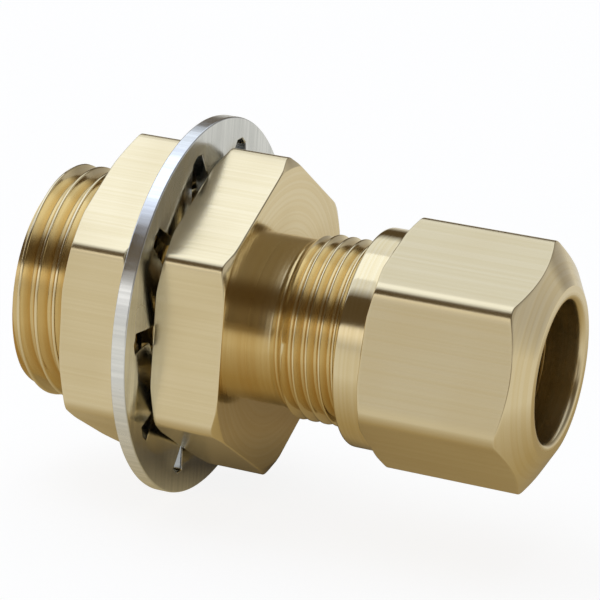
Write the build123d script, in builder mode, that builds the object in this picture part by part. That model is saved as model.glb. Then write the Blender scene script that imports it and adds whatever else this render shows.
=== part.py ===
from build123d import *
import os
from math import cos, radians, sin, sqrt, tan

# Bulkhead union for half-inch air-line tube, lying along X. The panel face of the body's hexagon is at x = 0,
# the panel shank points to -X and the tube end to +X, with +Z up. All sizes are in millimetres.
# Threads are plain cylinders at their major diameter, with the end chamfers and reliefs of the cut threads.

# Tube, threads and fits
tube_diameter = 12.7
bulkhead_thread = 22.225
bulkhead_pitch = 25.4 / 14
tube_thread = 17.4625
tube_pitch = 25.4 / 20
thread_depth_share = 0.6134
thread_play = 0.06
socket_play = 0.05
sleeve_play = 0.06
tube_hole_play = 0.25
seating_gap = 0.05
edge_break = 0.3

# Wrench hexagons of bar stock, each lying corner up before it is turned about the axis. Each end is coned back at
# the slope from the circle that it is faced to.
hexagon_sides = 6
hexagon_corner_up = 30
wrench_slope = 25
bar_corner_radius = 1.0
body_flats = 26.9875
body_hex_length = 6.75
panel_face_margin = 0.5
tube_face_margin = 0.9

# Body, panel side
shank_length = 16.1
shank_chamfer = 0.7
relief_width = 1.6
port_diameter = 14.6
port_depth = 11.2
port_mouth_chamfer = 1.2
drill_point_angle = 59
flow_diameter = 9.2

# Body, tube side
neck_diameter = 15.85
neck_length = 2.55
tube_side_length = 18.75
socket_depth = 12.5
seat_overlap = 0.49
seat_angle = 15

# Internal-tooth lock washer
washer_diameter = 35.8
washer_thickness = 1.4
tooth_count = 10
tooth_root_flat = 15.2
tooth_tip_gap = 0.35
tooth_gap = 2.0
tooth_twist = 11

# Locknut
locknut_flats = 26.9875
locknut_length = 6.85
locknut_turn = 1.5
locknut_face_margin = 0.2

# Compression sleeve
sleeve_nose_wall = 0.4
sleeve_wall = 1.49
sleeve_barrel_length = 1.2
sleeve_back_wall = 0.5
shoulder_angle = 45

# Tube nut
nut_flats = 20.6375
nut_corner_radius = 1.3
nut_turn = -8.8
nut_length = 18.0
nut_engagement = 9.3
collar_diameter = 20.5
collar_length = 2.55
nut_back_margin = 0.25
nose_slope = 30
nose_lip_width = 1.3

# Places along X worked out from the sizes above
shank_radius = bulkhead_thread / 2
shank_thread_depth = thread_depth_share * bulkhead_pitch
tube_thread_radius = tube_thread / 2
tube_thread_depth = thread_depth_share * tube_pitch
socket_radius = tube_diameter / 2 + socket_play
tube_end = body_hex_length + tube_side_length
tube_stop = tube_end - socket_depth
sleeve_bore_radius = tube_diameter / 2 + sleeve_play
sleeve_nose_radius = sleeve_bore_radius + sleeve_nose_wall
seat_mouth_radius = sleeve_nose_radius + seat_overlap
seat_floor = tube_end - (seat_mouth_radius - socket_radius) / tan(radians(seat_angle))

tooth_tip_radius = shank_radius + tooth_tip_gap
tooth_pitch_angle = 360 / tooth_count
tooth_root_width = 2 * tooth_root_flat * tan(radians(tooth_pitch_angle / 2)) - tooth_gap
tooth_tip_width = 2 * tooth_tip_radius * tan(radians(tooth_pitch_angle / 2)) - tooth_gap
tooth_reach = (
    tooth_tip_width / 2 * sin(radians(tooth_twist))
    + washer_thickness / 2 * cos(radians(tooth_twist))
)
washer_middle = -seating_gap - tooth_reach
locknut_face = washer_middle - tooth_reach - seating_gap

sleeve_radius = sleeve_bore_radius + sleeve_wall
sleeve_back_radius = sleeve_bore_radius + sleeve_back_wall
seat_offset = seating_gap / cos(radians(seat_angle))
sleeve_nose = seat_floor + (sleeve_nose_radius + seat_offset - socket_radius) / tan(radians(seat_angle))
sleeve_barrel = sleeve_nose + (sleeve_radius - sleeve_nose_radius) / tan(radians(seat_angle))
sleeve_shoulder = sleeve_barrel + sleeve_barrel_length
sleeve_back = sleeve_shoulder + (sleeve_radius - sleeve_back_radius) / tan(radians(shoulder_angle))

nut_back = tube_end - nut_engagement
nut_hex_back = nut_back + collar_length
nut_front = nut_back + nut_length
nut_bore_radius = tube_thread_radius + thread_play
nut_hole_radius = tube_diameter / 2 + tube_hole_play
shoulder_offset = seating_gap / sin(radians(shoulder_angle))
nut_shoulder = (
    sleeve_shoulder
    + shoulder_offset
    - (nut_bore_radius - sleeve_radius) / tan(radians(shoulder_angle))
)
nut_hole_start = nut_shoulder + (nut_bore_radius - nut_hole_radius) / tan(radians(shoulder_angle))


def turned(*outline, mode=Mode.ADD):
    """Revolve a closed outline of (x, radius) points about the fitting's axis."""
    with BuildSketch(Plane.XZ) as section:
        with BuildLine():
            Polyline(*outline, close=True)
        make_face()
    revolve(section.sketch, axis=Axis.X, mode=mode)


def hexagon_bar(flats, corner_radius, start, end, turn, start_circle, end_circle, start_slope, end_slope):
    """Hexagon bar from start to end with a corner up, then turned about X, its ends faced and coned."""
    beyond_corners = flats / sqrt(3) + edge_break
    with BuildSketch(Plane.YZ.offset(start)) as bar_end:
        RegularPolygon(flats / 2, hexagon_sides, major_radius=False, rotation=hexagon_corner_up + turn)
        fillet(bar_end.vertices(), corner_radius)
    extrude(bar_end.sketch, amount=end - start)
    turned(
        (start, 0),
        (start, start_circle),
        (start + (beyond_corners - start_circle) * tan(radians(start_slope)), beyond_corners),
        (end - (beyond_corners - end_circle) * tan(radians(end_slope)), beyond_corners),
        (end, end_circle),
        (end, 0),
        mode=Mode.INTERSECT,
    )


# Body: hexagon flange, panel shank with a female pipe port, neck and tube thread, turned from one bar
with BuildPart() as body:
    hexagon_bar(
        body_flats,
        bar_corner_radius,
        0,
        body_hex_length,
        0,
        body_flats / 2 + panel_face_margin,
        body_flats / 2 + tube_face_margin,
        wrench_slope,
        wrench_slope,
    )
    relief_radius = shank_radius - shank_thread_depth
    neck_radius = neck_diameter / 2
    neck_end = body_hex_length + neck_length
    turned(
        (-shank_length, 0),
        (-shank_length, shank_radius - shank_chamfer),
        (-shank_length + shank_chamfer, shank_radius),
        (-relief_width - shank_thread_depth, shank_radius),
        (-relief_width, relief_radius),
        (body_hex_length / 2, relief_radius),
        (body_hex_length / 2, neck_radius),
        (neck_end, neck_radius),
        (neck_end + tube_thread_radius - neck_radius, tube_thread_radius),
        (tube_end - tube_thread_depth, tube_thread_radius),
        (tube_end, tube_thread_radius - tube_thread_depth),
        (tube_end, 0),
    )
    port_radius = port_diameter / 2
    flow_radius = flow_diameter / 2
    port_floor = -shank_length + port_depth
    turned(
        (-shank_length, 0),
        (-shank_length, port_radius + port_mouth_chamfer),
        (-shank_length + port_mouth_chamfer, port_radius),
        (port_floor, port_radius),
        (port_floor + (port_radius - flow_radius) / tan(radians(drill_point_angle)), flow_radius),
        (tube_stop, flow_radius),
        (tube_stop, socket_radius),
        (seat_floor, socket_radius),
        (tube_end, seat_mouth_radius),
        (tube_end, 0),
        mode=Mode.SUBTRACT,
    )

# Lock washer: a flat ring with inward teeth, each twisted about its own radius so that its edges bite
with BuildPart() as lock_washer:
    with BuildSketch(Plane.YZ.offset(washer_middle)):
        Circle(washer_diameter / 2)
        RegularPolygon(tooth_root_flat, tooth_count, major_radius=False, mode=Mode.SUBTRACT)
    extrude(amount=washer_thickness / 2, both=True)
    for tooth in range(tooth_count):
        angle = radians((tooth + 0.5) * tooth_pitch_angle)
        outward = Vector(0, cos(angle), sin(angle))
        along_rim = Vector(0, -sin(angle), cos(angle))
        for radius, width, twist in (
            (tooth_root_flat, tooth_root_width, 0),
            (tooth_tip_radius, tooth_tip_width, tooth_twist),
        ):
            section = Vector(washer_middle, 0, 0) + outward * radius
            with BuildSketch(Plane(origin=section, x_dir=along_rim, z_dir=outward)):
                Rectangle(width, washer_thickness, rotation=twist)
        loft(ruled=True)

# Locknut: hexagon on the panel shank, countersunk at both faces
with BuildPart() as locknut:
    locknut_back = locknut_face - locknut_length
    hexagon_bar(
        locknut_flats,
        bar_corner_radius,
        locknut_back,
        locknut_face,
        locknut_turn,
        locknut_flats / 2 + locknut_face_margin,
        locknut_flats / 2 + locknut_face_margin,
        wrench_slope,
        wrench_slope,
    )
    locknut_bore = shank_radius + thread_play
    turned(
        (locknut_back, 0),
        (locknut_back, locknut_bore + shank_thread_depth / 2),
        (locknut_back + shank_thread_depth / 2, locknut_bore),
        (locknut_face - shank_thread_depth / 2, locknut_bore),
        (locknut_face, locknut_bore + shank_thread_depth / 2),
        (locknut_face, 0),
        mode=Mode.SUBTRACT,
    )

# Compression sleeve: its nose lies in the body's tapered seat and its back against the nut's shoulder
with BuildPart() as sleeve:
    turned(
        (sleeve_nose, sleeve_bore_radius),
        (sleeve_nose, sleeve_nose_radius),
        (sleeve_barrel, sleeve_radius),
        (sleeve_shoulder, sleeve_radius),
        (sleeve_back, sleeve_back_radius),
        (sleeve_back, sleeve_bore_radius),
    )

# Tube nut: hexagon with a round collar at its threaded end and a coned nose with a thin lip round the tube hole
with BuildPart() as tube_nut:
    hexagon_bar(
        nut_flats,
        nut_corner_radius,
        nut_hex_back,
        nut_front,
        nut_turn,
        nut_flats / 2 + nut_back_margin,
        nut_hole_radius + nose_lip_width,
        wrench_slope,
        nose_slope,
    )
    collar_radius = collar_diameter / 2
    turned(
        (nut_back, 0),
        (nut_back, collar_radius - edge_break),
        (nut_back + edge_break, collar_radius),
        (nut_hex_back + edge_break, collar_radius),
        (nut_hex_back + edge_break, 0),
    )
    turned(
        (nut_back, 0),
        (nut_back, nut_bore_radius + tube_thread_depth / 2),
        (nut_back + tube_thread_depth / 2, nut_bore_radius),
        (nut_shoulder, nut_bore_radius),
        (nut_hole_start, nut_hole_radius),
        (nut_front - edge_break, nut_hole_radius),
        (nut_front, nut_hole_radius + edge_break),
        (nut_front, 0),
        mode=Mode.SUBTRACT,
    )

os.makedirs("parts", exist_ok=True)
for name, piece in (
    ("body", body),
    ("lock_washer", lock_washer),
    ("locknut", locknut),
    ("sleeve", sleeve),
    ("tube_nut", tube_nut),
):
    piece.part.label = name
    export_step(piece.part, f"parts/{name}.step")
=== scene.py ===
from math import atan2, ceil, cos, pi, radians, sin, tan

import bmesh
import bpy
import numpy as np
from mathutils import Matrix, Vector


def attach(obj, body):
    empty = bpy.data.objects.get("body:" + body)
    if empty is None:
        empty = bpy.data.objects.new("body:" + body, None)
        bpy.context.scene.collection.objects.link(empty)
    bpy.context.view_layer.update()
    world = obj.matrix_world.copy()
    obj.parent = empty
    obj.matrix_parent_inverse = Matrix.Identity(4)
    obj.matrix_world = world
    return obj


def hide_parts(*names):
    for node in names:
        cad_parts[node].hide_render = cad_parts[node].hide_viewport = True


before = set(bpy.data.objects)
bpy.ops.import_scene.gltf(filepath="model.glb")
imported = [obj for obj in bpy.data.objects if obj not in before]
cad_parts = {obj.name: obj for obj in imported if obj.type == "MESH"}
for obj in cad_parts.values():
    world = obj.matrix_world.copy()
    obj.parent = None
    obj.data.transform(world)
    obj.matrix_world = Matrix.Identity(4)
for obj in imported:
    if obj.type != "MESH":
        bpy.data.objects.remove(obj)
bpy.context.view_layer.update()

MM = 0.001

# Sizes in millimetres, as the part has them. The panel face of the body's hexagon is at x = 0.
bulkhead_radius = 11.1125
bulkhead_pitch = 25.4 / 14
tube_thread_radius = 8.73125
tube_pitch = 25.4 / 20
thread_depth_share = 0.6134
bulkhead_depth = thread_depth_share * bulkhead_pitch
tube_depth = thread_depth_share * tube_pitch
wrench_slope = tan(radians(25))

shank_end = -16.1
shank_chamfer = 0.7
relief_edge = -1.6
port_mouth_radius = 8.5
port_mouth_chamfer = 1.2
port_radius = 7.3
port_floor = -4.9
port_cone_end = -3.278
flow_radius = 4.6

body_half_flats = 13.49375
body_hex_end = 6.75
panel_face_circle = 13.99375
tube_face_circle = 14.39375
neck_radius = 7.925
neck_end = 9.3
tube_end = 25.5
tube_stop = 13.0
socket_radius = 6.4
seat_floor = 22.141
seat_mouth_radius = 7.3

locknut_back = -9.364
locknut_face = -2.514
locknut_turn = 1.5
locknut_face_circle = 13.69375
locknut_countersink = 11.729

washer_middle = -1.257
washer_thickness = 1.4
washer_radius = 17.9
tooth_count = 10
tooth_root = 15.2
tooth_tip = 11.4625
tooth_root_width = 7.878
tooth_tip_width = 5.449
tooth_twist = radians(11)

sleeve_nose, sleeve_nose_radius = 23.864, 6.81
sleeve_barrel, sleeve_shoulder, sleeve_radius = 27.932, 29.132, 7.9
sleeve_back, sleeve_back_radius = 30.122, 6.91
sleeve_bore = 6.41

nut_half_flats = 10.31875
nut_turn = -8.8
nut_back, nut_hex_back, nut_front = 16.2, 18.75, 34.2
nut_back_circle = 10.56875
collar_radius = 10.25
nose_slope = tan(radians(30))
nose_lip = 7.9
nut_hole = 6.6
nut_hole_start = 30.503
nut_shoulder = 28.311
nut_bore = 8.791
nut_countersink = nut_bore + tube_depth / 2

# Threads, which only the look has. A start is where a thread's phase is zero.
bulkhead_thread_start = 0.0
tube_thread_start = 0.577
tube_run_in_slope = 0.6
thread_clearance = 0.08
thread_inset = 0.05
port_pitch = 25.4 / 18
port_thread_depth = 0.85
port_taper = 1 / 32
port_run_out_turns = 3
nut_undercut = 1.5
nut_undercut_start = nut_shoulder - nut_undercut

# One turn of thread: places across it, in pitches from its crest, and the depth of its groove at
# each. Both of its flanks are alike.
flank_places = np.array([0.045, 0.072, 0.1, 0.34, 0.368, 0.4])
flank_depths = np.array([0, 0.035, 0.12, 0.888, 0.968, 1])
thread_places = np.concatenate([[-0.5], -flank_places[::-1], flank_places])
thread_depths = np.concatenate([[1], flank_depths[::-1], flank_depths])
crest_phase = 0.25

# How far edges and corners are rounded back
edge_break = 0.1
filed_edge = 0.08
relief_root = 0.2
collar_edge = 0.3
collar_root = 0.04
hole_mouth = 0.55
sleeve_edge = 0.2
washer_edge = 0.16
body_corner = 1.3
nut_corner = 1.6

# The neck's brown painted shade: how far from the hexagon's face it starts, and the depth in a
# thread's groove that has the same painted shade
neck_shade_start = 0.05
neck_painted_shade = 0.8

# Hexagons lie corner up before they are turned
hexagon_sides = 6
side_angle = radians(60)
half_side_angle = radians(30)
corner_up = 90

# How finely the surfaces are laid out
corner_tolerance = 1.001
columns_per_flat = 24
columns_per_corner = 8
sleeve_columns = 96
spare_turns = 2
easing_rows = 5
easing_limit = 0.4
long_side = 0.7
end_row_inset = 0.25
row_spacing = 2
slot_columns = 3
tooth_columns = 16
tooth_rows = 8
ring_rows = 4
same_place = 1e-9
washer_edge_rows = 3
washer_edge_angle = radians(40)
weld_distance = 2e-7
crease_angle = radians(50)

# What a row of an outline holds for every column
X, RADIUS, DRAWN, EDGE, GROOVE = range(5)
PLACE = slice(X, RADIUS + 1)
ROW_WIDTH = GROOVE + 1


def hexagon_columns(half_flats, turn, rounding):
    """Angles round the axis, the hexagon's radius at each, and a mask that is 1 on its corners.

    The radius is half_flats / cos(a) on a flat, a being the angle from the flat's middle. On a
    corner it is the far side of a circle of the rounding's radius, whose centre lies on the
    corner's own line."""
    centre = (half_flats - rounding) / cos(half_side_angle)
    spread = atan2(rounding * sin(half_side_angle), centre + rounding * cos(half_side_angle))
    corners = radians(corner_up + turn) + side_angle * np.arange(hexagon_sides)
    across = np.linspace(-spread, spread, columns_per_corner + 1)
    between = np.linspace(spread, side_angle - spread, columns_per_flat + 1)[1:-1]
    offset = np.concatenate([across, between])
    angles = (corners[:, None] + offset).ravel()
    to_corner = np.tile((offset + half_side_angle) % side_angle - half_side_angle, hexagon_sides)
    on_flat = half_flats / np.cos(half_side_angle - np.abs(to_corner))
    inside = np.maximum(rounding ** 2 - (centre * np.sin(to_corner)) ** 2, 0)
    on_corner = centre * np.cos(to_corner) + np.sqrt(inside)
    is_corner = np.abs(to_corner) <= spread * corner_tolerance
    radius = np.where(is_corner, on_corner, on_flat)
    angles = np.append(angles, angles[0] + 2 * pi)
    return angles, np.append(radius, radius[0]), np.append(is_corner, is_corner[0])


def helical_rows(low, high, angles, pitch, start=0.0):
    """Rows along a right-hand thread between two places on the axis, and its groove's depth there.

    Turn n's row at the phase p is x = start + pitch (n + p + angle / (2 pi)), held between low and
    high. The depth, 0 on a crest and 1 in a root, is the thread's form at the phase of each
    point."""
    first_turn = np.floor((low - start) / pitch) - spare_turns
    last_turn = ceil((high - start) / pitch) + spare_turns
    turns = np.arange(first_turn, last_turn)
    phases = (turns[:, None] + crest_phase + thread_places).ravel()
    around = angles / (2 * pi)
    x = np.clip(start + pitch * (phases[:, None] + around), low, high)
    from_crest = ((x - start) / pitch - around - crest_phase + 0.5) % 1 - 0.5
    return x, np.interp(from_crest, np.append(thread_places, 0.5), np.append(thread_depths, 1))


def bored_rows(low, high, angles, pitch, start=0.0):
    """The rows of a thread in a bore, from high to low, as an outline comes back through it."""
    x, groove = helical_rows(low, high, angles, pitch, start)
    return x[::-1], groove[::-1]


def corner(x, radius, ease=filed_edge, drawn=0.0, groove=0.0):
    """One corner of an outline. Ease is how far it is rounded back, drawn marks the side after it
    as bar stock, and groove says how far it lies in a thread's depth."""
    return {"x": x, "radius": radius, "ease": ease, "drawn": drawn, "groove": groove}


def run(x, radius, groove):
    """A run of ready rows in an outline, such as a thread. Nothing of it is rounded back."""
    return corner(x, radius, ease=0.0, groove=groove)


def plain_block(part, columns):
    """The rows of one part of an outline as they are given, each spread over every column."""
    x, radius, groove = np.broadcast_arrays(part["x"], part["radius"], part["groove"])
    block = np.zeros((len(x) if x.ndim == 2 else 1, columns, ROW_WIDTH))
    block[..., X] = x
    block[..., RADIUS] = radius
    block[..., DRAWN] = part["drawn"]
    block[..., GROOVE] = groove
    return block


def eased_block(part, before, point, after):
    """The rows of a rounded corner, from the row before it, its own and the one after.

    The corner P becomes the curve (1-t)^2 A + 2t(1-t) P + t^2 C. A and C lie on its two sides at
    the easing's distance, or at a share of a short side."""
    ends = []
    for neighbour in (before, after):
        side = (neighbour - point)[:, PLACE]
        length = np.linalg.norm(side, axis=1, keepdims=True)
        ends.append(point[:, PLACE] + side / length * np.minimum(part["ease"], easing_limit * length))
    t = np.linspace(0, 1, easing_rows)[:, None]
    block = np.zeros((easing_rows, len(point), ROW_WIDTH))
    block[..., DRAWN] = (1 - t) * before[:, DRAWN] + t * part["drawn"]
    block[..., EDGE] = 1
    block[..., GROOVE] = part["groove"]
    t = t[..., None]
    block[..., PLACE] = (1 - t) ** 2 * ends[0] + 2 * t * (1 - t) * point[:, PLACE] + t ** 2 * ends[1]
    return block


def outline_rows(outline, columns):
    """Rows of (x, radius, drawn, edge, groove) for every column, from the corners and runs of a
    closed outline.

    A long side between two parts gets more rows in even steps, the outer two close to its ends, so
    that its shading stays flat. The rows of a run stay as they are, so that its turns meet at the
    seam."""
    plain = [plain_block(part, columns) for part in outline]
    blocks = []
    for index, part in enumerate(outline):
        block = plain[index]
        if part["ease"] > 0:
            after = plain[(index + 1) % len(outline)][0]
            block = eased_block(part, plain[index - 1][-1], block[0], after)
        blocks.append(block)
    rows = np.concatenate(blocks)
    inside_block = np.concatenate([np.arange(len(block)) < len(block) - 1 for block in blocks])
    filled = []
    for row, following, ready in zip(rows, np.roll(rows, -1, axis=0), inside_block):
        filled.append(row[None])
        length = np.median(np.linalg.norm((following - row)[:, PLACE], axis=1))
        if length > long_side and not ready:
            inset = end_row_inset / length
            share = np.linspace(inset, 1 - inset, ceil(length / row_spacing) + 2)[:, None, None]
            between = row + share * (following - row)
            between[..., EDGE] = 0
            filled.append(between)
    return np.concatenate(filled)


def finished(mesh, name, body, node, material):
    """Put a mesh in the scene as the piece that stands for a CAD node."""
    piece = bpy.data.objects.new(name, mesh)
    bpy.context.scene.collection.objects.link(piece)
    mesh.materials.append(material)
    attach(piece, body)
    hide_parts(node)
    return piece


def mark_points(mesh, label, values):
    """Give a mesh's points one value each, for its material to read."""
    attribute = mesh.attributes.new(label, "FLOAT", "POINT")
    attribute.data.foreach_set("value", values.astype(np.float32).ravel())


def turned_mesh(name, outline, angles, corner_mask=None):
    """A closed outline carried round the axis: (x, radius cos angle, radius sin angle) for each row
    and column.

    The last row joins the first. The last column lies on the first, or on a thread's next turn, and
    is welded to it, so the surface has no open edge. The point attributes drawn, edge and groove
    say where the metal is bar stock, where an edge is, and how deep in a thread. Bored is 1 where
    the outline comes back along the axis."""
    rows = outline_rows(outline, len(angles))
    count, columns = rows.shape[:2]
    x, radius = rows[..., X], rows[..., RADIUS]
    points = np.stack([x, radius * np.cos(angles), radius * np.sin(angles)], axis=-1) * MM
    index = np.arange(count * columns).reshape(count, columns)
    above = np.roll(index, -1, axis=0)
    quads = np.stack([index[:, :-1], index[:, 1:], above[:, 1:], above[:, :-1]], axis=-1).reshape(-1, 4)
    mesh = bpy.data.meshes.new(name)
    mesh.vertices.add(count * columns)
    mesh.vertices.foreach_set("co", points.astype(np.float32).ravel())
    mesh.loops.add(quads.size)
    mesh.loops.foreach_set("vertex_index", quads.astype(np.int32).ravel())
    mesh.polygons.add(len(quads))
    mesh.polygons.foreach_set("loop_start", np.arange(0, quads.size, 4, dtype=np.int32))
    mesh.update(calc_edges=True)
    edge = rows[..., EDGE]
    if corner_mask is not None:
        edge = np.maximum(edge, corner_mask[None, :] * rows[..., DRAWN])
    mark_points(mesh, "drawn", rows[..., DRAWN])
    mark_points(mesh, "edge", edge)
    mark_points(mesh, "groove", rows[..., GROOVE])
    mark_points(mesh, "bored", np.roll(x, -1, axis=0) < np.roll(x, 1, axis=0))
    welded = bmesh.new()
    welded.from_mesh(mesh)
    bmesh.ops.remove_doubles(welded, verts=welded.verts, dist=weld_distance)
    bmesh.ops.dissolve_degenerate(welded, edges=welded.edges, dist=weld_distance)
    welded.to_mesh(mesh)
    welded.free()
    mesh.shade_smooth()
    mesh.set_sharp_from_angle(angle=crease_angle)
    return mesh


def hexagon_side(half_hex, start, end, start_circle, end_circle, start_slope, end_slope):
    """The four corners of a hexagon's outline: its faces are cut to circles, then coned back to the
    flats.

    A cone reaches (half_hex - circle) times its slope from its face, or the edge's break if that is
    more."""
    start_cone = np.maximum(edge_break, (half_hex - start_circle) * start_slope)
    end_cone = np.maximum(edge_break, (half_hex - end_circle) * end_slope)
    return [
        corner(start, np.minimum(start_circle, half_hex - edge_break)),
        corner(start + start_cone, half_hex, drawn=1.0),
        corner(end - end_cone, half_hex),
        corner(end, np.minimum(end_circle, half_hex - edge_break)),
    ]


def shank_thread(angles):
    """The panel thread: the shank's radius less the groove, held under the chamfer at the shank's
    end and under the cone that goes down to the relief."""
    x, groove = helical_rows(shank_end, relief_edge, angles, bulkhead_pitch, bulkhead_thread_start)
    past_end = np.minimum(x - shank_end - shank_chamfer, relief_edge - bulkhead_depth - x)
    limit = bulkhead_radius + np.minimum(past_end, 0)
    return run(x, np.minimum(limit, bulkhead_radius - bulkhead_depth * groove), groove)


def tube_thread(angles):
    """The tube thread: its radius less the groove, held under a rise from the neck and a chamfer at
    the tube end. In the first half turn it doesn't go below the neck."""
    x, groove = helical_rows(neck_end, tube_end, angles, tube_pitch, tube_thread_start)
    rise = (x - neck_end) * tube_run_in_slope - (tube_thread_radius - neck_radius)
    limit = tube_thread_radius + np.minimum(np.minimum(rise, tube_end - tube_depth - x), 0)
    thread = np.minimum(limit, tube_thread_radius - tube_depth * groove)
    least = np.where(x < neck_end + tube_pitch / 2, neck_radius, 0)
    return run(x, np.maximum(thread, least), groove)


def port_thread(angles):
    """The port's taper thread: a minor radius that grows by the taper towards the mouth, plus the
    cut, which deepens over some turns from the floor. The mouth's chamfer opens it out."""
    x, groove = bored_rows(shank_end + thread_inset, port_floor, angles, port_pitch)
    started = np.clip((port_floor - x) / (port_run_out_turns * port_pitch), 0, 1)
    minor = port_radius + (port_floor - x) * port_taper
    mouth = port_radius + np.maximum(shank_end + port_mouth_chamfer - x, 0)
    cut = (1 - groove) * started
    return run(x, np.maximum(mouth, minor + port_thread_depth * cut), cut)


def body_mesh():
    """The body: threaded shank, relief, hexagon, neck and tube thread outside; seat, socket, flow
    bore and pipe port inside."""
    angles, half_hex, corners = hexagon_columns(body_half_flats, 0, body_corner)
    outline = [
        corner(shank_end, port_mouth_radius),
        shank_thread(angles),
        corner(0.0, bulkhead_radius - bulkhead_depth, ease=relief_root),
        *hexagon_side(half_hex, 0.0, body_hex_end, panel_face_circle, tube_face_circle,
                      wrench_slope, wrench_slope),
        corner(body_hex_end, neck_radius, ease=0),
        # The neck takes a groove depth only for its brown painted shade
        corner(body_hex_end + neck_shade_start, neck_radius, ease=0, groove=neck_painted_shade),
        tube_thread(angles),
        corner(tube_end, seat_mouth_radius),
        corner(seat_floor, socket_radius),
        corner(tube_stop, socket_radius),
        corner(tube_stop, flow_radius),
        corner(port_cone_end, flow_radius),
        port_thread(angles),
    ]
    return turned_mesh("body_turning", outline, angles, corners)


def locknut_mesh():
    """The locknut: a hexagon with coned ends. Its thread is the shank's with a small clearance, and
    a countersink opens it out at both faces."""
    angles, half_hex, corners = hexagon_columns(body_half_flats, locknut_turn, body_corner)
    x, groove = bored_rows(locknut_back + thread_inset, locknut_face - thread_inset, angles,
                           bulkhead_pitch, bulkhead_thread_start)
    sink = locknut_countersink - np.minimum(locknut_face - x, x - locknut_back)
    bore = bulkhead_radius + thread_clearance - bulkhead_depth * groove
    outline = [
        corner(locknut_back, locknut_countersink),
        *hexagon_side(half_hex, locknut_back, locknut_face, locknut_face_circle, locknut_face_circle,
                      wrench_slope, wrench_slope),
        corner(locknut_face, locknut_countersink),
        run(x, np.maximum(sink, bore), 1 - groove),
    ]
    return turned_mesh("locknut_turning", outline, angles, corners)


def tube_nut_mesh():
    """The tube nut: round collar, hexagon and coned nose outside; tube hole, 45 degree shoulder and
    thread inside.

    The thread is the body's with a small clearance, and runs out into the bore over one pitch."""
    angles, half_hex, corners = hexagon_columns(nut_half_flats, nut_turn, nut_corner)
    x, groove = bored_rows(nut_back + thread_inset, nut_undercut_start, angles,
                           tube_pitch, tube_thread_start)
    sink = nut_countersink - (x - nut_back)
    bore = tube_thread_radius + thread_clearance - tube_depth * groove
    started = np.clip((nut_undercut_start - x) / tube_pitch, 0, 1)
    bore = nut_bore + (bore - nut_bore) * started
    outline = [
        corner(nut_back, nut_countersink),
        corner(nut_back, collar_radius, ease=collar_edge),
        corner(nut_hex_back, collar_radius, ease=collar_root),
        *hexagon_side(half_hex, nut_hex_back, nut_front, nut_back_circle, nose_lip,
                      wrench_slope, nose_slope),
        corner(nut_front, nut_hole, ease=hole_mouth),
        corner(nut_hole_start, nut_hole),
        corner(nut_shoulder, nut_bore),
        run(x, np.maximum(sink, bore), 1 - groove),
    ]
    return turned_mesh("tube_nut_turning", outline, angles, corners)


def sleeve_mesh():
    """The compression sleeve: a nose at the seat's taper, a short barrel and a 45 degree back."""
    angles = np.linspace(0, 2 * pi, sleeve_columns + 1)
    outline = [
        corner(sleeve_nose, sleeve_bore),
        corner(sleeve_nose, sleeve_nose_radius),
        corner(sleeve_barrel, sleeve_radius, ease=sleeve_edge),
        corner(sleeve_shoulder, sleeve_radius, ease=sleeve_edge),
        corner(sleeve_back, sleeve_back_radius),
        corner(sleeve_back, sleeve_bore),
    ]
    return turned_mesh("sleeve_turning", outline, angles)


def washer_mesh():
    """The middle surface of the lock washer, a ring whose teeth are twisted about their own radii.

    A tooth's point at the share q from root to tip lies at the radius root + q (tip - root). Its
    place l across the tooth is turned by q times the twist: l cos along the rim and l sin along the
    axis. The point attribute rim is 1 on the outer edge."""
    half_flat = tooth_root * tan(pi / tooth_count)
    half_root = tooth_root_width / 2
    across = np.concatenate([
        np.linspace(-half_flat, -half_root, slot_columns + 1)[:-1],
        np.linspace(-half_root, half_root, tooth_columns + 1),
        np.linspace(half_root, half_flat, slot_columns + 1)[1:-1],
    ])
    on_tooth = np.abs(across) <= half_root + same_place
    middle = (np.arange(tooth_count) + 0.5) * 2 * pi / tooth_count
    outward = np.stack([0 * middle, np.cos(middle), np.sin(middle)], axis=-1)[:, None, :]
    along = np.stack([0 * middle, -np.sin(middle), np.cos(middle)], axis=-1)[:, None, :]
    axis = np.array([1.0, 0.0, 0.0])
    place = across[None, :, None]

    share = np.linspace(1, 0, tooth_rows + 1)[:-1, None, None, None]
    radius = tooth_root + share * (tooth_tip - tooth_root)
    narrowed = place * (1 + share * (tooth_tip_width / tooth_root_width - 1))
    twist = share * tooth_twist
    teeth = outward * radius + along * narrowed * np.cos(twist) + axis * narrowed * np.sin(twist)

    root = outward * tooth_root + along * place
    rim = root / np.linalg.norm(root, axis=-1, keepdims=True) * washer_radius
    share = np.linspace(0, 1, ring_rows + 1)[:, None, None, None]
    ring = root + share * (rim - root)

    points = np.concatenate([teeth, ring])
    rows = points.shape[0]
    columns = tooth_count * len(across)
    points = points.reshape(rows, columns, 3) + axis * washer_middle
    index = np.arange(rows * columns).reshape(rows, columns)
    beside = np.roll(index, -1, axis=1)
    quads = np.stack([index[:-1], beside[:-1], beside[1:], index[1:]], axis=-1)
    shown = np.ones(quads.shape[:2], bool)
    shown[:len(teeth)] = np.tile(on_tooth & np.roll(on_tooth, -1), tooth_count)
    used, faces = np.unique(quads[shown], return_inverse=True)
    mesh = bpy.data.meshes.new("lock_washer_stamping")
    mesh.from_pydata((points.reshape(-1, 3)[used] * MM).tolist(), [], faces.reshape(-1, 4).tolist())
    mark_points(mesh, "rim", used >= (rows - 1) * columns)
    mesh.shade_smooth()
    return mesh


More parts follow.
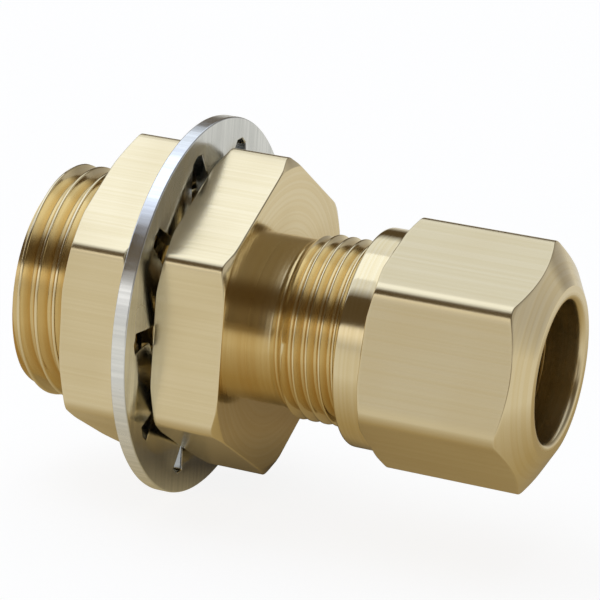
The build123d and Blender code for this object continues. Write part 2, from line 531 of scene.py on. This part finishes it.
def washer_finish(piece):
    """Give the washer its sheet, half to each side, and the rolled edges of a stamping."""
    sheet = piece.modifiers.new("sheet", "SOLIDIFY")
    sheet.thickness = washer_thickness * MM
    sheet.offset = 0
    sheet.use_even_offset = True
    rolled = piece.modifiers.new("rolled_edges", "BEVEL")
    rolled.width = washer_edge * MM
    rolled.segments = washer_edge_rows
    rolled.limit_method = "ANGLE"
    rolled.angle_limit = washer_edge_angle
    rolled.harden_normals = True


def fill_inputs(tree, node, inputs):
    """Fill a node's inputs, each with a value or with the socket to link from."""
    for socket, value in dict(inputs).items():
        if isinstance(value, bpy.types.NodeSocket):
            tree.links.new(value, node.inputs[socket])
        else:
            node.inputs[socket].default_value = value


def add_node(tree, kind, inputs=(), **settings):
    """A node of that kind with its settings and inputs."""
    made = tree.nodes.new("ShaderNode" + kind)
    for name, value in settings.items():
        setattr(made, name, value)
    fill_inputs(tree, made, inputs)
    return made


def calculate(tree, operation, *values):
    """The result of one operation of arithmetic on values or sockets."""
    return add_node(tree, "Math", dict(enumerate(values)), operation=operation).outputs[0]


def mix_colours(tree, factor, first, second):
    """Colour mix: from the first colour to the second as the factor goes from 0 to 1."""
    return add_node(tree, "Mix", {0: factor, 6: first, 7: second}, data_type="RGBA").outputs[2]


def mix_values(tree, factor, first, second):
    """Value mix: from the first value to the second as the factor goes from 0 to 1."""
    return add_node(tree, "Mix", {0: factor, 2: first, 3: second}, data_type="FLOAT").outputs[0]


def spread_over(tree, value, low, high, to_low=0.0, to_high=1.0):
    """Map the range low..high of a value onto to_low..to_high, and no further."""
    made = add_node(tree, "MapRange", {0: value, 1: low, 2: high, 3: to_low, 4: to_high}, clamp=True)
    return made.outputs[0]


def colour_steps(tree, value, steps):
    """A colour that runs through steps as the value rises, each a place from 0 to 1 and a colour."""
    ramp = add_node(tree, "ValToRGB", {0: value})
    elements = ramp.color_ramp.elements
    while len(elements) < len(steps):
        elements.new(1.0)
    for element, (position, colour) in zip(elements, steps):
        element.position = position
        element.color = colour
    return ramp.outputs[0]


def apart(tree, place, point):
    """The distance of a place on a surface from a fixed point."""
    return add_node(tree, "VectorMath", {0: place, 1: point}, operation="DISTANCE").outputs["Value"]


def seen_directly(tree, path):
    """The larger of two marks of a light path: 1 for what the camera sees, also through a clear
    piece, else 0."""
    return calculate(tree, "MAXIMUM", path["Is Camera Ray"], path["Is Transmission Ray"])


def effect_group(name, inputs, outputs):
    """An empty shader group with named value or vector inputs and value outputs."""
    tree = bpy.data.node_groups.new(name, "ShaderNodeTree")
    for label, kind in inputs:
        tree.interface.new_socket(label, in_out="INPUT", socket_type=kind)
    for label in outputs:
        tree.interface.new_socket(label, in_out="OUTPUT", socket_type="NodeSocketFloat")
    return tree, tree.nodes.new("NodeGroupInput").outputs, tree.nodes.new("NodeGroupOutput")


# Scales of the noise in the finishes, and the parts of it that go from deep to pale
COARSE_LINES = 0.45
FINE_LINES = 1.1
MARK_LOW, MARK_HIGH = 0.36, 0.64
DULL_LOW, DULL_HIGH = 0.42, 0.7
ACROSS_AXIS = (0.0, 1.0, 1.0)


def drawn_lines_group():
    """Lines that a die leaves on bar stock: noise stretched along the axis, coarse and fine."""
    tree, given, result = effect_group(
        "drawn_lines", [("Place", "NodeSocketVector"), ("Stretch", "NodeSocketVector")],
        ["Height", "Shade"])
    stretched = add_node(tree, "VectorMath", {0: given[0], 1: given[1]}, operation="MULTIPLY").outputs[0]
    coarse, fine = (
        add_node(tree, "TexNoise", {"Vector": stretched, "Scale": scale, "Detail": 0.0}).outputs[0]
        for scale in (COARSE_LINES, FINE_LINES))
    both = mix_values(tree, 0.5, coarse, fine)
    fill_inputs(tree, result, {"Height": coarse, "Shade": spread_over(tree, both, MARK_LOW, MARK_HIGH)})
    return tree


def turning_marks_group():
    """Rings that a lathe tool leaves: noise by the place along the axis and the distance from it."""
    tree, given, result = effect_group(
        "turning_marks", [("Place", "NodeSocketVector"), ("Rings", "NodeSocketFloat")],
        ["Height", "Shade"])
    flat = add_node(tree, "VectorMath", {0: given[0], 1: ACROSS_AXIS}, operation="MULTIPLY").outputs[0]
    reach = add_node(tree, "VectorMath", {0: flat}, operation="LENGTH").outputs["Value"]
    along = add_node(tree, "SeparateXYZ", {0: given[0]}).outputs[0]
    section = add_node(tree, "CombineXYZ", {0: along, 1: reach}).outputs[0]
    rings = add_node(tree, "TexNoise", {"Vector": section, "Scale": given[1], "Detail": 0.0},
                     noise_dimensions="2D").outputs[0]
    fill_inputs(tree, result, {"Height": rings, "Shade": spread_over(tree, rings, MARK_LOW, MARK_HIGH)})
    return tree


def handling_marks_group():
    """Dull patches left by handling: broad noise, cut so that most of the metal stays clear."""
    tree, given, result = effect_group(
        "handling_marks", [("Place", "NodeSocketVector"), ("Patches", "NodeSocketFloat")], ["Dull"])
    broad = add_node(tree, "TexNoise", {"Vector": given[0], "Scale": given[1], "Detail": 1.0}).outputs[0]
    fill_inputs(tree, result, {"Dull": spread_over(tree, broad, DULL_LOW, DULL_HIGH)})
    return tree


DRAWN_LINES = drawn_lines_group()
TURNING_MARKS = turning_marks_group()
HANDLING_MARKS = handling_marks_group()


def place_group(tree, group, **inputs):
    """The outputs of an effect group, placed in a material with its own values."""
    return add_node(tree, "Group", inputs, node_tree=group).outputs


def point_mark(tree, label):
    """A point attribute of the piece, as a value."""
    return add_node(tree, "Attribute", attribute_name=label).outputs["Fac"]


def metal_base(name):
    """A new metal material with its shader and its place on the surface."""
    material = bpy.data.materials.new(name)
    material.use_nodes = True
    tree = material.node_tree
    shader = tree.nodes["Principled BSDF"]
    shader.inputs["Metallic"].default_value = 1.0
    place = add_node(tree, "TexCoord").outputs["Object"]
    return material, tree, shader, place


BUMP_DEPTH = 0.00002


def finish_metal(tree, shader, colour, rough, height, bump_strength):
    """Link a metal's colour, its roughness and the bump of its height to its shader."""
    bump = add_node(tree, "Bump", {"Strength": bump_strength, "Distance": BUMP_DEPTH, "Height": height})
    fill_inputs(tree, shader, {"Base Color": colour, "Roughness": rough, "Normal": bump.outputs[0]})


DRAWN_PALE = (0.84, 0.72, 0.475, 1)
DRAWN_DEEP = (0.815, 0.69, 0.435, 1)
# A darker copy of the drawn brass for the tube nut's flats: painted shade
NUT_SHADED_PALE = (0.785, 0.675, 0.45, 1)
NUT_SHADED_DEEP = (0.76, 0.645, 0.41, 1)
TURNED_PALE = (0.85, 0.73, 0.48, 1)
TURNED_DEEP = (0.82, 0.685, 0.42, 1)
DULL_BRASS = (0.70, 0.56, 0.31, 1)
# Brown painted shade for thread roots and the neck
ROOT_SHADE_BRASS = (0.73, 0.53, 0.225, 1)
BAR_STRETCH = (25.0, 5200.0, 5200.0)
BRASS_PATCHES = 130.0
DULL_TINT = 0.25
ROOT_SHADE_START, ROOT_SHADE_SHARE = 0.35, 0.75
RUB_START, RUB_TINT = 0.2, 0.4
LINE_ROUGH = 0.03
RING_ROUGH = 0.02
DULL_ROUGH = 0.05
ROOT_ROUGH = 0.08
BORED_ROUGH = 0.28
BRASS_BUMP = 0.22


def brass(name, rings, drawn_smooth, turned_smooth, drawn_pale=DRAWN_PALE, drawn_deep=DRAWN_DEEP):
    """Machined brass: bar lines on the hexagon's flats, lathe rings elsewhere, brown painted shade in
    thread roots, rubbed edges.

    Colour and roughness are mixes: deep to pale by the lines or rings, turned to drawn by the
    attribute drawn, then to dull in patches, to a brown painted shade by groove and to pale by edge.
    Drawn_smooth and turned_smooth are the least roughness of the two finishes, and bores have a
    roughness of their own."""
    material, tree, shader, place = metal_base(name)
    drawn, edge, groove, bored = (
        point_mark(tree, label) for label in ("drawn", "edge", "groove", "bored"))
    lines = place_group(tree, DRAWN_LINES, Place=place, Stretch=BAR_STRETCH)
    marks = place_group(tree, TURNING_MARKS, Place=place, Rings=rings)
    dull = place_group(tree, HANDLING_MARKS, Place=place, Patches=BRASS_PATCHES)["Dull"]

    turned_colour = mix_colours(tree, marks["Shade"], TURNED_DEEP, TURNED_PALE)
    drawn_colour = mix_colours(tree, lines["Shade"], drawn_deep, drawn_pale)
    colour = mix_colours(tree, drawn, turned_colour, drawn_colour)
    colour = mix_colours(tree, spread_over(tree, dull, 0, 1, 0, DULL_TINT), colour, DULL_BRASS)
    # Painted shade: thread roots and the neck turn brown by groove
    colour = mix_colours(tree, spread_over(tree, groove, ROOT_SHADE_START, 1, 0, ROOT_SHADE_SHARE), colour, ROOT_SHADE_BRASS)
    colour = mix_colours(tree, spread_over(tree, edge, RUB_START, 1, 0, RUB_TINT), colour, DRAWN_PALE)

    drawn_rough = mix_values(tree, lines["Shade"], drawn_smooth + LINE_ROUGH, drawn_smooth)
    turned_rough = mix_values(tree, marks["Shade"], turned_smooth + RING_ROUGH, turned_smooth)
    rough = mix_values(tree, drawn, turned_rough, drawn_rough)
    rough = mix_values(tree, dull, rough, calculate(tree, "ADD", rough, DULL_ROUGH))
    rough = calculate(tree, "MULTIPLY_ADD", groove, ROOT_ROUGH, rough)
    rough = mix_values(tree, bored, rough, BORED_ROUGH)

    height = mix_values(tree, drawn, marks["Height"], lines["Height"])
    finish_metal(tree, shader, colour, rough, height, BRASS_BUMP)
    return material


RIM_PALE = (0.95, 0.97, 0.99, 1)
RIM_DEEP = (0.84, 0.86, 0.88, 1)
FACE_PALE = (0.84, 0.87, 0.90, 1)
FACE_DEEP = (0.72, 0.75, 0.78, 1)
SLOT_WALL_SHADE = (0.38, 0.405, 0.43, 1)
SHEAR_STRETCH = (60.0, 3400.0, 3400.0)
ROLL_STRETCH = (900.0, 4200.0, 140.0)
ZINC_PATCHES = 220.0
FACE_START, FACE_END = 0.4, 0.8
CLOUD_TINT = 0.5
ZINC_ROUGH, ZINC_SMOOTH, CLOUD_ROUGH = 0.22, 0.14, 0.28
ZINC_BUMP = 0.4


def zinc(name):
    """Zinc-plated strip: shear lines across the rim, rolling lines on the faces, cloudy plating,
    slot walls darkened with painted shade.

    Rim and face are mixed by how far the surface faces along the axis, each going from deep to pale
    by its own lines. Clouds bring the face back to deep, and the attribute rim tells the rim from
    the walls of the slots."""
    material, tree, shader, place = metal_base(name)
    sheared = place_group(tree, DRAWN_LINES, Place=place, Stretch=SHEAR_STRETCH)
    rolled = place_group(tree, DRAWN_LINES, Place=place, Stretch=ROLL_STRETCH)
    cloudy = place_group(tree, HANDLING_MARKS, Place=place, Patches=ZINC_PATCHES)["Dull"]
    facing = add_node(tree, "SeparateXYZ", {0: add_node(tree, "TexCoord").outputs["Normal"]}).outputs[0]
    on_face = spread_over(tree, calculate(tree, "ABSOLUTE", facing), FACE_START, FACE_END)

    rim_colour = mix_colours(tree, sheared["Shade"], RIM_DEEP, RIM_PALE)
    # The slot walls between the teeth take a dark painted shade colour
    wall_colour = mix_colours(tree, point_mark(tree, "rim"), SLOT_WALL_SHADE, rim_colour)
    face_colour = mix_colours(tree, rolled["Shade"], FACE_DEEP, FACE_PALE)
    clouded = spread_over(tree, cloudy, 0, 1, 0, CLOUD_TINT)
    face_colour = mix_colours(tree, clouded, face_colour, FACE_DEEP)
    colour = mix_colours(tree, on_face, wall_colour, face_colour)

    shade = mix_values(tree, on_face, sheared["Shade"], rolled["Shade"])
    rough = mix_values(tree, shade, ZINC_ROUGH, ZINC_SMOOTH)
    rough = mix_values(tree, cloudy, rough, CLOUD_ROUGH)

    height = mix_values(tree, on_face, sheared["Height"], rolled["Height"])
    finish_metal(tree, shader, colour, rough, height, ZINC_BUMP)
    return material


body_brass = brass("machined_body_brass", rings=3200.0, drawn_smooth=0.18, turned_smooth=0.1)
locknut_brass = brass("drawn_locknut_brass", rings=3000.0, drawn_smooth=0.2, turned_smooth=0.12)
# The tube nut's flats use the darker copy of drawn brass, painted shade
nut_brass = brass("drawn_tube_nut_brass", rings=3600.0, drawn_smooth=0.18, turned_smooth=0.08,
                  drawn_pale=NUT_SHADED_PALE, drawn_deep=NUT_SHADED_DEEP)
sleeve_brass = brass("turned_sleeve_brass", rings=4000.0, drawn_smooth=0.18, turned_smooth=0.1)
washer_zinc = zinc("zinc_plated_washer")

finished(body_mesh(), "body_turning", "body", "body", body_brass)
finished(locknut_mesh(), "locknut_turning", "locknut", "locknut", locknut_brass)
finished(tube_nut_mesh(), "tube_nut_turning", "tube_nut", "tube_nut", nut_brass)
finished(sleeve_mesh(), "sleeve_turning", "sleeve", "sleeve", sleeve_brass)
washer = finished(washer_mesh(), "lock_washer_stamping", "washer", "lock_washer",
                  washer_zinc)
washer_finish(washer)


# The floor, in metres, just under the washer, and the painted shades that gloss sees on it, each with
# the two distances between which it comes in
FLOOR_GAP = 0.0001
FLOOR_HEIGHT = -washer_radius * MM - FLOOR_GAP
FLOOR_HALF = 2.0
SHADE_MIDDLE = (0.010, 0.035, FLOOR_HEIGHT)
SHADE_INNER, SHADE_OUTER = 0.012, 0.075
DEEP_SHADE = (0.11, 0.07, 0.03, 1)
HALF_SHADE = (0.34, 0.275, 0.15, 1)
OPEN_FLOOR = (0.60, 0.59, 0.55, 1)
FLOOR_STEPS = ((0.0, DEEP_SHADE), (0.5, HALF_SHADE), (1.0, OPEN_FLOOR))
FAR_FLOOR_SHADE = (0.56, 0.555, 0.53, 1)
FAR_START, FAR_END = 0.10, 0.35
DIM_FLOOR_SHADE = (0.12, 0.09, 0.055, 1)
DIM_START, DIM_END = 0.02, 0.05
DIM_FRONT_START, DIM_FRONT_END = 0.06, 0.15
FOOT_MIDDLE = (0.003, 0.010, FLOOR_HEIGHT)
FOOT_INNER, FOOT_OUTER = 0.004, 0.016
FOOT_SHADE = (0.02, 0.015, 0.01, 1)
FLOOR_WHITE = (0.8, 0.8, 0.8, 1)
SHADOW_WHITE = (0.25, 0.25, 0.25, 1)
MIRRORED_BROWN = (0.2, 0.17, 0.11, 1)
FLOOR_GLOW = 0.865
PLAIN_WHITE = (1, 1, 1, 1)


def glowing(tree, diffuse, glow, strength):
    """The sum of a diffuse surface, which takes shadows, and a glow."""
    lit = add_node(tree, "BsdfDiffuse", {"Color": diffuse}).outputs[0]
    light = add_node(tree, "Emission", {"Color": glow, "Strength": strength}).outputs[0]
    return add_node(tree, "AddShader", {0: lit, 1: light}).outputs[0]


def floor_material():
    """White floor with the object's shadow for the camera, and plain white for light.

    For gloss its colour is painted shade, by the distance from the middle of a painted shadow, from
    deep shade to open floor. It then goes to the far floor's by the distance to the front, to a dim
    painted shade to the front and right, and to a painted contact shadow round the washer's foot."""
    material = bpy.data.materials.new("white_floor")
    material.use_nodes = True
    tree = material.node_tree
    tree.nodes.clear()
    path = add_node(tree, "LightPath").outputs
    place = add_node(tree, "TexCoord").outputs["Object"]
    across, forward, _ = add_node(tree, "SeparateXYZ", {0: place}).outputs
    open_floor = spread_over(tree, apart(tree, place, SHADE_MIDDLE), SHADE_INNER, SHADE_OUTER)
    far_front = spread_over(tree, forward, -FAR_START, -FAR_END)
    to_right = spread_over(tree, across, DIM_START, DIM_END)
    to_front = spread_over(tree, forward, -DIM_FRONT_START, -DIM_FRONT_END)
    off_foot = spread_over(tree, apart(tree, place, FOOT_MIDDLE), FOOT_INNER, FOOT_OUTER)

    # Painted shade that only gloss sees: a painted shadow under the fitting, a darker far front, a dim
    # front right and a painted contact shadow at the washer's foot
    reflected = colour_steps(tree, open_floor, FLOOR_STEPS)
    reflected = mix_colours(tree, far_front, reflected, FAR_FLOOR_SHADE)
    reflected = mix_colours(tree, calculate(tree, "MULTIPLY", to_right, to_front), reflected, DIM_FLOOR_SHADE)
    reflected = mix_colours(tree, off_foot, FOOT_SHADE, reflected)

    white = add_node(tree, "BsdfDiffuse", {"Color": FLOOR_WHITE}).outputs[0]
    # In gloss the floor is a darker, brown copy of the white floor: painted shade and painted reflection
    mirrored = glowing(tree, MIRRORED_BROWN, reflected, 1.0)
    lifted = glowing(tree, SHADOW_WHITE, PLAIN_WHITE, FLOOR_GLOW)
    unseen = add_node(tree, "MixShader", {0: path["Is Glossy Ray"], 1: white, 2: mirrored}).outputs[0]
    both = add_node(tree, "MixShader", {0: seen_directly(tree, path), 1: unseen, 2: lifted}).outputs[0]
    output = add_node(tree, "OutputMaterial", {0: both})
    output.is_active_output = True
    return material


floor_corners = ((-FLOOR_HALF, -FLOOR_HALF), (FLOOR_HALF, -FLOOR_HALF),
                 (FLOOR_HALF, FLOOR_HALF), (-FLOOR_HALF, FLOOR_HALF))
floor_mesh = bpy.data.meshes.new("floor")
floor_mesh.from_pydata([(x, y, FLOOR_HEIGHT) for x, y in floor_corners], [], [(0, 1, 2, 3)])
floor_mesh.materials.append(floor_material())
floor = bpy.data.objects.new("floor", floor_mesh)
bpy.context.scene.collection.objects.link(floor)


FRONT_WALL = (0.60, 0.585, 0.55, 1)
GREY_WALL = (0.50, 0.49, 0.48, 1)
FLOOR_WALL = (0.66, 0.64, 0.58, 1)
DIM_TOP = (0.16, 0.15, 0.135, 1)
DIM_SIDE = (0.24, 0.225, 0.2, 1)
PALE_WALL = (0.98, 0.95, 0.89, 1)
DARK_ROOM = (0.09, 0.065, 0.035, 1)
COOL_TOP = (0.82, 0.88, 1.0, 1)
PALE_TOP = (0.87, 0.93, 1.01, 1)

# The room from the front horizon, 0, over the top to the back horizon, 1
LEFT_SIDE = (
    (0.0, FRONT_WALL), (0.02, FRONT_WALL), (0.08, PALE_WALL), (0.12, PALE_WALL),
    (0.14, DARK_ROOM), (0.30, DARK_ROOM), (0.365, COOL_TOP), (0.62, COOL_TOP),
    (0.68, PALE_TOP), (0.76, PALE_TOP), (0.83, DARK_ROOM), (0.92, DARK_ROOM), (1.0, FLOOR_WALL),
)
RIGHT_SIDE = (
    (0.0, DARK_ROOM), (0.28, DARK_ROOM), (0.38, DIM_SIDE), (0.9, DIM_SIDE), (1.0, GREY_WALL),
)
FAR_RIGHT = (
    (0.0, FRONT_WALL), (0.09, FRONT_WALL), (0.16, DARK_ROOM), (0.36, DARK_ROOM),
    (0.43, DIM_TOP), (0.7, DIM_TOP), (0.86, GREY_WALL), (1.0, FLOOR_WALL),
)
RIGHT_START, RIGHT_END = 0.1, 0.3
FAR_RIGHT_START, FAR_RIGHT_END = 0.42, 0.55


def studio_world():
    """White surroundings for the camera. For light and gloss, a room with pale walls, a pale top
    and dark gaps.

    The gaps are bands of the angle atan2(z, -y), which goes from the front horizon over the top to
    the back. To the right of the fitting, by the direction's x, the room is dim, and far to the
    right it has a pale front and a grey wall behind."""
    world = bpy.data.worlds.new("white_tent")
    bpy.context.scene.world = world
    world.use_nodes = True
    tree = world.node_tree
    tree.nodes.clear()
    path = add_node(tree, "LightPath").outputs
    way = add_node(tree, "TexCoord").outputs["Generated"]
    right, back, up = add_node(tree, "SeparateXYZ", {0: way}).outputs
    climb = calculate(tree, "ARCTAN2", up, calculate(tree, "MULTIPLY", back, -1.0))
    climbed = spread_over(tree, calculate(tree, "ABSOLUTE", climb), 0, pi)
    left_side, right_side, far_right = (
        colour_steps(tree, climbed, steps) for steps in (LEFT_SIDE, RIGHT_SIDE, FAR_RIGHT))
    to_right = spread_over(tree, right, RIGHT_START, RIGHT_END)
    to_far_right = spread_over(tree, right, FAR_RIGHT_START, FAR_RIGHT_END)
    surroundings = mix_colours(tree, to_right, left_side, right_side)
    surroundings = mix_colours(tree, to_far_right, surroundings, far_right)
    room = add_node(tree, "Background", {"Color": surroundings, "Strength": 1.0}).outputs[0]
    white = add_node(tree, "Background", {"Color": PLAIN_WHITE, "Strength": 1.0}).outputs[0]
    both = add_node(tree, "MixShader", {0: seen_directly(tree, path), 1: room, 2: white}).outputs[0]
    add_node(tree, "OutputWorld", {0: both})


LAMP_COLOUR = (0.74, 0.84, 1.0)


def soft_lamp(name, place, aim, size, power):
    """A cool square area lamp at a place, turned to face its aim, in metres."""
    data = bpy.data.lights.new(name, "AREA")
    data.shape = "SQUARE"
    data.size = size
    data.energy = power
    data.color = LAMP_COLOUR
    lamp = bpy.data.objects.new(name, data)
    bpy.context.scene.collection.objects.link(lamp)
    lamp.location = place
    lamp.rotation_euler = (Vector(aim) - Vector(place)).to_track_quat("-Z", "Y").to_euler()


studio_world()
soft_lamp("overhead_softbox", place=(-0.3, 0.03, 0.8), aim=(0.0, 0.0, 0.0), size=0.5, power=0.36)


SENSOR_WIDTH = 36
NEAR_CLIP = 0.01


def photo_camera(azimuth, elevation, roll, distance, target, lens):
    """The camera on a sphere round its target, rolled about the line from the target to it.

    Angles are in degrees, lengths in millimetres. Back points from the target to the camera."""
    a, e, r = radians(azimuth), radians(elevation), radians(roll)
    back = Vector((sin(a) * cos(e), -cos(a) * cos(e), sin(e)))
    level = Vector((cos(a), sin(a), 0))
    upright = back.cross(level)
    right = level * cos(r) + upright * sin(r)
    up = upright * cos(r) - level * sin(r)
    data = bpy.data.cameras.new("photo_camera")
    data.lens = lens
    data.sensor_width = SENSOR_WIDTH
    data.clip_start = NEAR_CLIP
    camera = bpy.data.objects.new("photo_camera", data)
    bpy.context.scene.collection.objects.link(camera)
    place = (Vector(target) + back * distance) * MM
    camera.matrix_world = Matrix.Translation(place) @ Matrix((right, up, back)).transposed().to_4x4()
    bpy.context.scene.camera = camera


photo_camera(azimuth=21.991, elevation=15.73, roll=4.425, distance=277.84,
             target=(8.51, 0.0, 2.17), lens=180)
bpy.context.scene.view_settings.view_transform = "Standard"
